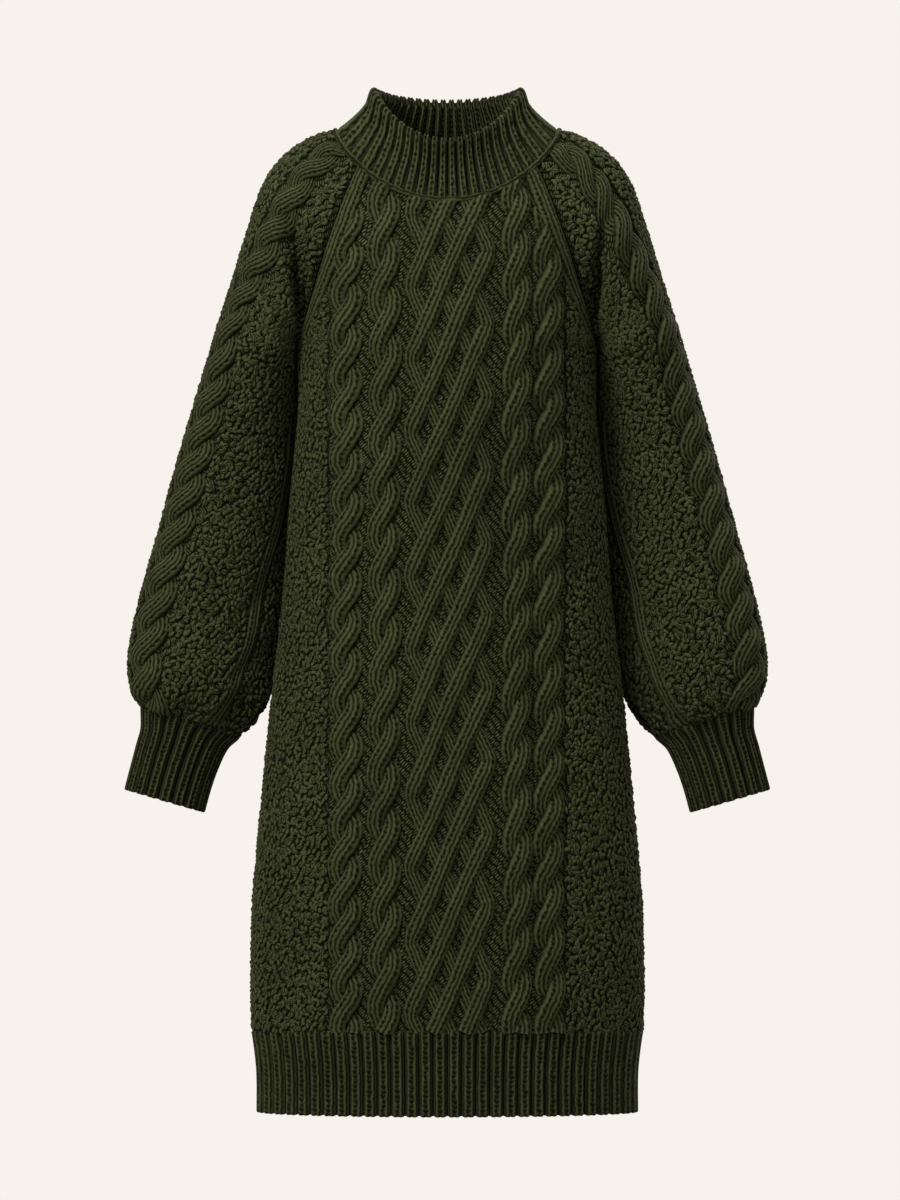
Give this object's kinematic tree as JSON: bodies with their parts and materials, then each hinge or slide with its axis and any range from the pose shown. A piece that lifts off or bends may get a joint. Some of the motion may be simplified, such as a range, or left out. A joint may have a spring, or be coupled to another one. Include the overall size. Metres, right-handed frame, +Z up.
{
  "type": "sweater dress",
  "caption": "Knee-length cable-knit sweater dress with raglan balloon sleeves, ribbed funnel collar, cuffs and hem, filled out as if worn.",
  "frame": {"origin": "middle of the shoulder line at the base of the neck, where the wearer's shoulders carry the dress", "axes": "+Z up, the front of the dress faces -Y, +X to the right seen from the front"},
  "size_m": [0.645, 0.2525, 1.0275],
  "materials": {
    "front_panel": "matte chunky wool knit, dark olive green, soft fuzzy sheen",
    "back_panel": "matte chunky wool knit, dark olive green, soft fuzzy sheen",
    "sleeve_left": "matte chunky wool knit, dark olive green, soft fuzzy sheen",
    "sleeve_right": "matte chunky wool knit, dark olive green, soft fuzzy sheen",
    "cuff_left": "matte chunky wool knit, dark olive green, soft fuzzy sheen",
    "cuff_right": "matte chunky wool knit, dark olive green, soft fuzzy sheen",
    "collar_rib": "matte chunky wool knit, dark olive green, soft fuzzy sheen",
    "hem_rib_front": "matte chunky wool knit, dark olive green, soft fuzzy sheen",
    "hem_rib_back": "matte chunky wool knit, dark olive green, soft fuzzy sheen"
  },
  "bodies": {
    "root": {"front_panel": "front_panel", "back_panel": "back_panel", "sleeve_left": "sleeve_left", "sleeve_right": "sleeve_right", "cuff_left": "cuff_left", "cuff_right": "cuff_right", "collar_rib": "collar_rib", "hem_rib_front": "hem_rib_front", "hem_rib_back": "hem_rib_back"}
  },
  "joints": []
}
